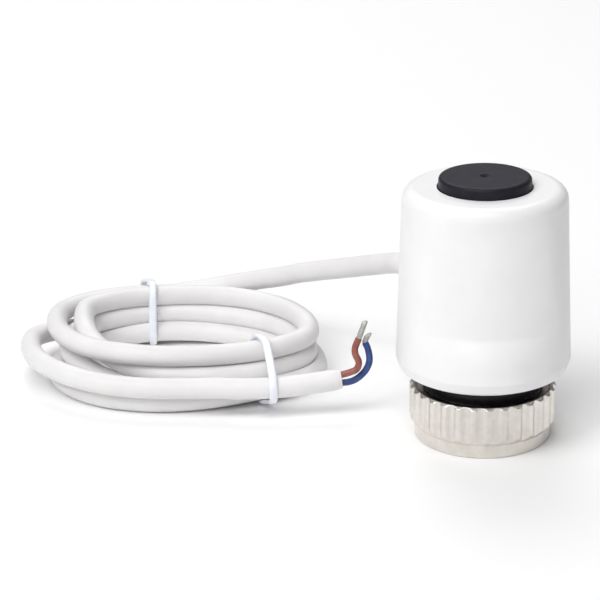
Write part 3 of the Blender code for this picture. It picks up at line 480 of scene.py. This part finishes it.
def floor_under(points):
    """Lowest height of the cable's centreline at each point: a tie under it lifts it a little."""
    lift = np.zeros(len(points))
    for (x, y), *_ in TIE_PLACES.values():
        away = np.hypot(points[:, 0] - x, points[:, 1] - y)
        lift = np.maximum(lift, (TIE_THICKNESS + 0.15) * np.exp(-(away / 17.0) ** 2))
    return CABLE_RADIUS + lift


def settle(points, rounds=150, gap=-0.15, fall=0.024):
    """Lets the turns sink and pushes them apart, so that they rest on each other and the floor.

    The first and last points are held, and so is the shape of each bend, as far as it can be.
    """
    neighbours, held_at_start, held_at_end = 5, 20, 12
    push_share, largest_push, stiffness, pull_back = 0.3, 0.8, 0.45, 0.02
    target = points.copy()
    index = np.arange(len(points))
    apart = np.abs(index[:, None] - index[None, :]) > neighbours
    loose = np.ones((len(points), 1), bool)
    loose[:held_at_start] = False
    loose[-held_at_end:] = False
    for _ in range(rounds):
        offset = points[:, None] - points[None]
        distance = np.linalg.norm(offset, axis=2) + 1e-9
        short = np.where(apart, np.maximum(CABLE_DIAMETER + gap - distance, 0.0), 0.0)
        push = (offset / distance[..., None] * short[..., None]).sum(1) * push_share
        points = points + np.clip(push, -largest_push, largest_push) * loose
        bend = np.zeros_like(points)
        bend[1:-1] = 0.5 * (points[:-2] + points[2:]) - points[1:-1]
        wanted = np.zeros_like(points)
        wanted[1:-1] = 0.5 * (target[:-2] + target[2:]) - target[1:-1]
        points = points + stiffness * (bend - wanted) * loose
        points = points + pull_back * (target - points)
        points[:, 2] -= fall * loose[:, 0]
        points[:, 2] = np.maximum(points[:, 2], floor_under(points))
    return points


def lead_route():
    """The lead's centreline: straight out of the gland, down to the coil, round it and out."""
    start = np.array([EXIT_RADIUS * math.cos(EXIT_AZIMUTH), EXIT_RADIUS * math.sin(EXIT_AZIMUTH),
                      EXIT_HEIGHT])
    run = smooth_route([start, *RUN_KNOTS], 6)
    route = np.vstack([run, Coil.points(), smooth_route(TAIL_KNOTS, 6)])
    route = settle(evenly(route, 3.0))
    return evenly(smooth_route(route, 3), 1.5)


def convex_hull(points):
    """The points of the convex outline, in order."""
    ordered = sorted(map(tuple, points))
    halves = []
    for sequence in (ordered, ordered[::-1]):
        half = []
        for point in sequence:
            while len(half) > 1 and np.cross(np.subtract(half[-1], half[-2]),
                                             np.subtract(point, half[-2])) <= 0:
                half.pop()
            half.append(point)
        halves += half[:-1]
    return np.array(halves)


def strands_at(route, middle, along, reach=17.0):
    """(distance across, height) of each strand that crosses the upright plane at a tie."""
    across = np.array([-along[1], along[0]])
    offset = route[:, :2] - np.array(middle)
    ahead, aside = offset @ along, offset @ across
    found = []
    for i in np.nonzero(ahead[:-1] * ahead[1:] < 0)[0]:
        share = ahead[i] / (ahead[i] - ahead[i + 1])
        distance = aside[i] + share * (aside[i + 1] - aside[i])
        if abs(distance) < reach:
            found.append((distance, route[i, 2] + share * (route[i + 1, 2] - route[i, 2])))
    return found


def swept(loop, axes, section, closed):
    """Vertices and faces of a section carried along points, each with its two cross axes."""
    vertices = [tuple(point + first * a + second * b)
                for point, (first, second) in zip(loop, axes) for a, b in section]
    size, count = len(section), len(loop)
    faces = []
    for i in range(count if closed else count - 1):
        here, ahead = i * size, (i + 1) % count * size
        for k in range(size):
            m = (k + 1) % size
            faces.append([here + k, here + m, ahead + m, ahead + k])
    if not closed:
        faces += [list(range(size)), list(range((count - 1) * size, count * size))]
    return vertices, faces


def tie_section(sides=16):
    """(thickness, width) points of the tie's flattened, round-edged cross-section."""
    points = []
    for k in range(sides):
        cosine, sine = math.cos(2 * math.pi * k / sides), math.sin(2 * math.pi * k / sides)
        points.append((TIE_THICKNESS / 2 * math.copysign(abs(sine) ** 0.8, sine),
                       TIE_WIDTH / 2 * math.copysign(abs(cosine) ** 0.6, cosine)))
    return points


def twisted_end(start, heading, length=8.0, turn_length=3.6, sides=10):
    """Vertices and faces of the tie's two ends, twisted together from start along heading."""
    first = np.cross(heading, (0.0, 0.0, 1.0))
    first /= np.linalg.norm(first)
    second = np.cross(heading, first)
    steps = 40
    section = [(TIE_END_RADIUS * math.cos(2 * math.pi * k / sides),
                TIE_END_RADIUS * math.sin(2 * math.pi * k / sides)) for k in range(sides)]
    vertices, faces = [], []
    for strand in (0.0, math.pi):
        line = []
        for i in range(steps + 1):
            share = i / steps
            angle = strand + 2 * math.pi * share * length / turn_length
            line.append(start + heading * length * share
                        + (first * math.cos(angle) + second * math.sin(angle))
                        * TIE_END_TWIST_RADIUS)
        more, sides_of = swept(line, [(first, second)] * len(line), section, closed=False)
        faces += [[index + len(vertices) for index in face] for face in sides_of]
        vertices += more
    return vertices, faces


def tie(node, route):
    """A flat plastic tie pulled round every strand in the plane across the coil."""
    middle, heading, skew, skew_start = TIE_PLACES[node]
    along = np.array([math.cos(heading), math.sin(heading)])
    across = np.array([-along[1], along[0]])
    stand_off = CABLE_RADIUS + TIE_THICKNESS / 2 + TIE_CLEARANCE
    rim = []
    for u, z in strands_at(route, middle, along):
        for a in np.arange(64) * 2 * math.pi / 64:
            reach = stand_off + TIE_LOOSENESS * max(0.0, math.sin(a)) ** 2
            rim.append((u + reach * math.cos(a), z + reach * math.sin(a)))
    loop = convex_hull(rim)
    loop = evenly(np.c_[np.vstack([loop, loop[:1]]), np.zeros(len(loop) + 1)], 0.6)[:-1, :2]
    for _ in range(10):
        loop = 0.25 * np.roll(loop, 1, axis=0) + 0.5 * loop + 0.25 * np.roll(loop, -1, axis=0)
    loop[:, 1] = np.maximum(loop[:, 1], TIE_THICKNESS / 2)
    ahead = np.roll(loop, -1, axis=0) - np.roll(loop, 1, axis=0)
    ahead /= np.linalg.norm(ahead, axis=1)[:, None]
    low, high = loop[:, 0].min(), loop[:, 0].max()
    start = skew_start * np.clip((loop[:, 1] - 1.0) / 8.0, 0.0, 1.0)
    behind = np.clip(((loop[:, 0] - low) / (high - low) - start) / (1.0 - start), 0.0, 1.0)
    shift = -skew * behind ** 1.3
    points, axes = [], []
    for (u, z), (ahead_u, ahead_z), back in zip(loop, ahead, shift):
        x, y = np.array(middle) + across * u + along * back
        points.append((x, y, z))
        axes.append((np.array((*(across * ahead_z), -ahead_u)), np.array((*along, 0.0))))
    points = np.array(points)
    for _ in range(10):
        points = (np.roll(points, 1, axis=0) + 2 * points + np.roll(points, -1, axis=0)) / 4
    points[:, 2] = np.maximum(points[:, 2], TIE_THICKNESS / 2)
    vertices, faces = swept(points, axes, tie_section(), closed=True)
    rear = points[int(np.argmax(loop[:, 0] - 0.8 * np.abs(loop[:, 1] - 4.0)))]
    away = np.array((*(across * 0.3 - along * 0.9), -0.25))
    ends, end_faces = twisted_end(rear, away / np.linalg.norm(away))
    faces += [[index + len(vertices) for index in face] for face in end_faces]
    piece = add_mesh(node + "_strap", vertices + ends, faces, "tie_white")
    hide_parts(node)
    return piece


def stranded_tip(node, knots, cut):
    """Twisted, tinned strands as one lobed mesh along the knots, cut off square to cut."""
    points = evenly(smooth_route(knots, 8), 0.12)
    lobes, turn_length, sides = 7, 9.0, 42
    cut = Vector(cut)
    along = np.r_[0.0, np.cumsum(np.linalg.norm(np.diff(points, axis=0), axis=1))]
    vertices, faces = [], []
    for i, point in enumerate(points):
        tangent = Vector(points[min(i + 1, len(points) - 1)] - points[max(i - 1, 0)]).normalized()
        first = (Vector((0.0, 1.0, 0.0)) - tangent * tangent.y).normalized()
        second = tangent.cross(first)
        lean = max(0.0, 1.0 - (along[-1] - along[i]) / 0.8)
        rounding = 1.0 - 0.12 * max(0.0, 1.0 - (along[-1] - along[i]) / 0.25) ** 2
        for k in range(sides):
            angle = 2 * math.pi * k / sides
            twist = angle - 2 * math.pi * along[i] / turn_length
            size = TIP_RADIUS * rounding * (0.9 + 0.12 * abs(math.cos(twist * lobes / 2)))
            offset = (first * math.cos(angle) + second * math.sin(angle)) * size
            offset -= tangent * (offset.dot(cut) / tangent.dot(cut)) * lean
            vertices.append(tuple(Vector(point) + offset))
    rows = len(points)
    for i in range(rows - 1):
        for k in range(sides):
            m = (k + 1) % sides
            faces.append([i * sides + k, i * sides + m, (i + 1) * sides + m, (i + 1) * sides + k])
    faces.append(list(range(sides)))
    faces.append(list(range((rows - 1) * sides, rows * sides)))
    piece = add_mesh(node + "_strands", vertices, faces, "tinned_copper")
    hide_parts(node)
    return piece


def build_lead():
    """The lead as one cord, with its ties, cores and tips."""
    route = lead_route()
    radii = np.ones(len(route))
    radii[-2:] = (0.97, 0.86)
    cord = wire("mains_lead", route, CABLE_RADIUS, "cable_white", radii, round_steps=8)
    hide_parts("cable_run", "cable_coil", "cable_tail")
    with_cord = [tie(name, route) for name in TIE_PLACES]
    for name, knots, slot in (("brown_core", BROWN_KNOTS, "core_brown"),
                              ("blue_core", BLUE_KNOTS, "core_blue")):
        points = evenly(smooth_route(knots, 8), 0.4)
        ends = np.ones(len(points))
        ends[-1] = 0.9
        core = wire(name + "_sleeve", points, CORE_RADIUS, slot, ends)
        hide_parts(name)
        with_cord.append(core)
    for node, knots, cut in (("brown_core_tip", BROWN_TIP, (-0.1, -0.2, 1.0)),
                             ("blue_core_tip", BLUE_TIP, (-0.3, -0.1, 1.0))):
        with_cord.append(stranded_tip(node, knots, cut))


# ---------------------------------------------------------------- the head

def side_radius(height):
    """Radius of the cover's tapered side."""
    share = (height - COVER_WIDE_HEIGHT) / (COVER_HIGH.z - COVER_FILLET - COVER_WIDE_HEIGHT)
    return COVER_WIDE_RADIUS + share * (COVER_NARROW_RADIUS - COVER_WIDE_RADIUS)


def panel_depth(height, azimuths):
    """How far the front panel lies behind the round side, at each azimuth."""
    level = min(max(height, PANEL_CREASE), PANEL_TOP)
    below = (PANEL_CREASE - height) / PANEL_SLOPE
    fade = max(0.0, 1 - 0.5 * (below + math.hypot(below, PANEL_CREASE_BLEND))) ** 1.35
    top_share = min(1.0, (PANEL_TOP - level) / PANEL_TOP_FADE)
    fade *= top_share ** 2 * (3 - 2 * top_share)
    rise = (level - PANEL_CREASE) / (PANEL_TOP - PANEL_CREASE)
    half_width = PANEL_LOW_HALF_WIDTH + rise * (PANEL_HIGH_HALF_WIDTH - PANEL_LOW_HALF_WIDTH)
    side = side_radius(level)
    flat = side * PANEL_FLATNESS
    depth = (side - math.sqrt(side ** 2 - half_width ** 2)
             - flat + math.sqrt(flat ** 2 - half_width ** 2))
    behind = flat - side + depth
    turn = azimuths + math.pi / 2
    front = np.cos(turn) > 0.2
    panel = -behind * np.cos(turn) + np.sqrt(flat ** 2 - (behind * np.sin(turn)) ** 2)
    gap = side - panel
    soft = 0.5 * (gap + np.sqrt(gap ** 2 + PANEL_EDGE_BLEND ** 2))
    return np.where(front, soft * fade, 0.0)


def build_cover():
    """White cover: soft top fillet, rounded lower edge, scooped front panel."""
    def shape(radii, height, azimuths):
        on_side = radii[0] > COVER_INNER_RADIUS + SKIN_MARGIN and height > COVER_WIDE_HEIGHT
        return radii - panel_depth(height, azimuths) if on_side else radii

    top, bottom = COVER_HIGH.z, COVER_LOW.z
    cover = spin("white_cover", [
        (COVER_NARROW_RADIUS - 0.05, top, COVER_FILLET, 1.5),
        (COVER_HOLE_RADIUS, top, 0.12, 0),
        (COVER_HOLE_RADIUS, COVER_CEILING, 0.2, 0),
        (COVER_INNER_RADIUS, COVER_CEILING, 0.8, 0),
        (COVER_INNER_RADIUS, bottom, 0.2, 0),
        (COVER_EDGE_RADIUS - 0.5, bottom, 0.25, 0),
        (COVER_EDGE_RADIUS + 0.75, bottom + 0.65, 1.1, 0),
        (COVER_WIDE_RADIUS, COVER_WIDE_HEIGHT, 1.4, 0.25),
    ], COVER_COLUMNS, "cover_white", shape=shape)
    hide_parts("outer_cover")


def build_nut():
    """Nickel union nut: flutes that run out through its chamfers, and the valve thread."""
    pitch_angle = 2 * math.pi / FLUTE_COUNT
    flute_centre = NUT_CREST_RADIUS + FLUTE_RADIUS - FLUTE_DEPTH
    thread_low, thread_high = THREAD_START, NUT_LIP_BOTTOM - 0.3

    def shape(radii, height, azimuths):
        radius = radii[0]
        if radius > FLUTED_OUTSIDE_RADIUS:
            turn = (azimuths + pitch_angle / 2) % pitch_angle - pitch_angle / 2
            aside = flute_centre * np.sin(turn)
            floor = flute_centre * np.cos(turn) - np.sqrt(
                np.maximum(FLUTE_RADIUS ** 2 - aside ** 2, 0.0))
            gap = radius - floor
            return radii - 0.5 * (gap + np.sqrt(gap ** 2 + FLUTE_EDGE_BLEND ** 2))
        if abs(radius - THREAD_CREST_RADIUS) < 0.01 and thread_low < height < thread_high:
            phase = (height / THREAD_PITCH - azimuths / (2 * math.pi)) % 1.0
            groove = np.clip(1.35 - 2.7 * np.abs(phase - 0.5), 0.0, 1.0)
            run_out = min(1.0, (height - thread_low) / THREAD_RUN_OUT,
                          (thread_high - height) / THREAD_RUN_OUT)
            return radii + THREAD_DEPTH * groove * run_out
        return radii

    top = NUT_HIGH.z
    nut = spin("nickel_nut", [
        (NUT_CREST_RADIUS, top - 0.6, 0.3, 1.2),
        (NUT_CREST_RADIUS, NUT_CREST_START, 0.3, 0.14),
        (NUT_COLLAR_RADIUS, NUT_COLLAR_HEIGHT, 0.25, 0),
        (NUT_COLLAR_RADIUS, 0.0, 0.45, 0),
        (THREAD_CREST_RADIUS + 0.7, 0.0, 0.15, 0),
        (THREAD_CREST_RADIUS, 0.7, 0.1, 0.1875),
        (THREAD_CREST_RADIUS, NUT_LIP_BOTTOM, 0.1, 0),
        (NUT_LIP_RADIUS, NUT_LIP_BOTTOM, 0.15, 0),
        (NUT_LIP_RADIUS, top - NUT_TOP_DISH, 0.2, 0),
        (NUT_DISH_RADIUS, top - NUT_TOP_DISH, 0.4, 0),
        (NUT_RIM_RADIUS, top, 0.15, 0),
        (NUT_CREST_RADIUS - 0.75, top, 0.15, 0.08),
    ], NUT_COLUMNS, "nickel_plate", "nut", shape)
    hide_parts("union_nut")


def build_button():
    """Charcoal indicator button with its rounded rim and small centre dimple."""
    top, bottom = BUTTON_HIGH.z, BUTTON_LOW.z
    flange_radius = BUTTON_HIGH.x
    flange_top = bottom + BUTTON_FLANGE_THICKNESS
    ceiling = STEM_HIGH.z + BUTTON_STEM_GAP
    button = spin("black_button", [
        (0.0, top - DIMPLE_DEPTH, 0, 0),
        (DIMPLE_FLOOR_RADIUS, top - DIMPLE_DEPTH, 0.2, 0),
        (DIMPLE_RIM_RADIUS, top, 0.25, 1.0),
        (BUTTON_TOP_RADIUS, top, 0.95, 0),
        (BUTTON_SIDE_RADIUS, top - BUTTON_SIDE_DROP, 0.3, 0),
        (BUTTON_SIDE_RADIUS, flange_top, 0.15, 0),
        (flange_radius, flange_top, 0.15, 0),
        (flange_radius, bottom, 0.15, 0),
        (BUTTON_BORE_RADIUS, bottom, 0.15, 0),
        (BUTTON_BORE_RADIUS, ceiling, 0.4, 0),
        (0.0, ceiling, 0, 0),
    ], BUTTON_COLUMNS, "moulded_black", "carriage")
    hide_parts("indicator_button")


def build_gland():
    """Short collar with a rounded nose, where the lead leaves the cover."""
    gland = spin("lead_gland", [
        (GLAND_BORE_RADIUS, GLAND_INNER_END, 0.1, 0),
        (GLAND_FLANGE_RADIUS, GLAND_INNER_END, 0.2, 0),
        (GLAND_FLANGE_RADIUS, GLAND_FLANGE_END, 0.2, 0),
        (GLAND_NECK_RADIUS, GLAND_FLANGE_END, 0.1, 0),
        (GLAND_NECK_RADIUS, GLAND_COLLAR_START, 0.1, 0),
        (GLAND_COLLAR_RADIUS, GLAND_COLLAR_START, 0.2, 0),
        (4.4, 22.9, 0.5, 0),
        (3.55, GLAND_OUTER_END, 0.3, 0),
        (GLAND_BORE_RADIUS, GLAND_OUTER_END, 0.15, 0),
    ], GLAND_COLUMNS, "cable_white")
    gland.data.transform(
        Matrix.Translation((0.0, 0.0, EXIT_HEIGHT * MM))
        @ Matrix.Rotation(EXIT_AZIMUTH, 4, "Z") @ Matrix.Rotation(math.pi / 2, 4, "Y"))
    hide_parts("cable_gland")


def build_spring():
    """Closing spring inside the cover, as one fixed coil that rides on the housing."""
    radius = SPRING_HIGH.x - SPRING_WIRE_RADIUS
    low, high = SPRING_LOW.z + SPRING_WIRE_RADIUS, SPRING_HIGH.z - SPRING_WIRE_RADIUS
    last_start = SPRING_TURNS - SPRING_END_TURN
    count = int(SPRING_TURNS * SPRING_STEPS)
    points = []
    for i in range(count + 1):
        turn = i / SPRING_STEPS
        share = np.clip((turn - SPRING_END_TURN) / (last_start - SPRING_END_TURN), 0.0, 1.0)
        end_rise = SPRING_END_PITCH * (min(turn, SPRING_END_TURN) + max(turn - last_start, 0.0))
        height = low + end_rise + share * (high - low - SPRING_END_RISE)
        angle = 2 * math.pi * turn
        points.append((radius * math.cos(angle), radius * math.sin(angle), height))
    curve_piece = wire("spring_wire", points, SPRING_WIRE_RADIUS, "steel", round_steps=3)
    evaluated = curve_piece.evaluated_get(bpy.context.evaluated_depsgraph_get())
    mesh = bpy.data.meshes.new_from_object(evaluated)
    bpy.data.objects.remove(curve_piece)
    mesh.materials.clear()
    spring = add_piece("spring_coil", mesh, "steel")
    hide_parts("closing_spring")
    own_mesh(spring)


def finish_cad_nodes():
    """Gives every CAD node that stays on show the full finish of its slot.

    The base ring sits in the cover's shade and looks blacker than the button, so it has its own
    darker copy of the moulded black, which is painted shade.
    """
    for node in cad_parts.values():
        if node.hide_render:
            continue
        for slot in node.material_slots:
            if slot.material and slot.material.name.split(".")[0] in FINISHES:
                slot.material = FINISHES[slot.material.name.split(".")[0]]
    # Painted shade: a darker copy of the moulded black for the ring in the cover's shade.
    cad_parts["adapter_base"].material_slots[0].material = surface(
        "base_black_painted_shade", (0.006, 0.006, 0.007), (0.011, 0.01, 0.012), (0.3, 0.42), mottle=0.4,
        grain=9.0, depth=0.006, specular=0.25)


# ---------------------------------------------------------------- the studio

def area_light(name, place, target, size, power):
    """A square soft light at place, aimed at target, in metres."""
    data = bpy.data.lights.new(name, "AREA")
    data.shape = "RECTANGLE"
    data.size, data.size_y = size
    data.energy = power
    light = bpy.data.objects.new(name, data)
    light.location = place
    light.rotation_euler = (Vector(target) - Vector(place)).to_track_quat("-Z", "Y").to_euler()
    bpy.context.scene.collection.objects.link(light)


def build_studio():
    """White floor, white surroundings and soft lights."""
    scene = bpy.context.scene
    half = 4.0
    mesh = bpy.data.meshes.new("floor")
    mesh.from_pydata([(-half, -half, 0), (half, -half, 0), (half, half, 0), (-half, half, 0)],
                     [], [(0, 1, 2, 3)])
    floor = bpy.data.objects.new("floor", mesh)
    scene.collection.objects.link(floor)
    material, nodes, links, shader = node_tree("floor_white")
    place = nodes.new("ShaderNodeTexCoord")
    cloudy = noise(nodes, links, place, 0.004, 2.0)
    links.new(tinted(nodes, links, cloudy, (0.95, 0.95, 0.95), (0.97, 0.97, 0.97)),
              shader.inputs["Base Color"])
    shader.inputs["Roughness"].default_value = 0.9
    shader.inputs["Specular IOR Level"].default_value = 0.1
    mesh.materials.append(material)

    world = bpy.data.worlds.new("studio")
    scene.world = world
    world.use_nodes = True
    background = world.node_tree.nodes["Background"]
    background.inputs["Color"].default_value = (1.0, 1.0, 1.0, 1.0)
    background.inputs["Strength"].default_value = 0.2
    target = (-0.045, 0.03, 0.03)
    area_light("key", (-0.9, -0.6, 1.2), target, (0.8, 0.8), 9.2)
    area_light("front", (-0.5, -1.4, 1.0), target, (0.7, 0.7), 5.4)
    area_light("overhead", (-0.2, -0.5, 1.25), target, (0.8, 0.8), 6.3)
    area_light("back", (-0.1, 0.9, 1.0), (-0.05, 0.35, 0.0), (0.9, 0.9), 7.0)
    scene.view_settings.view_transform = "Standard"


def build_camera():
    """The camera at the height, pitch and slight roll of a low studio view."""
    pitch, roll = math.radians(20.65), math.radians(1.13)
    sensor, focal = 36.0, 128.3
    right = Vector((1.0, 0.0, 0.0))
    ahead = Vector((0.0, math.cos(pitch), -math.sin(pitch)))
    up = right.cross(ahead)
    across = right * math.cos(roll) - up * math.sin(roll)
    upward = right * math.sin(roll) + up * math.cos(roll)
    place = Vector((-45.9, -499.8, 225.0)) * MM
    data = bpy.data.cameras.new("camera")
    data.sensor_width = sensor
    data.lens = focal
    data.clip_start = 0.01
    camera = bpy.data.objects.new("camera", data)
    axes = Matrix((across, upward, -ahead)).transposed().to_4x4()
    camera.matrix_world = Matrix.Translation(place) @ axes
    bpy.context.scene.collection.objects.link(camera)
    bpy.context.scene.camera = camera


FINISHES = make_finishes()
build_camera()
build_studio()
build_lead()
build_cover()
build_nut()
build_button()
build_gland()
build_spring()
finish_cad_nodes()
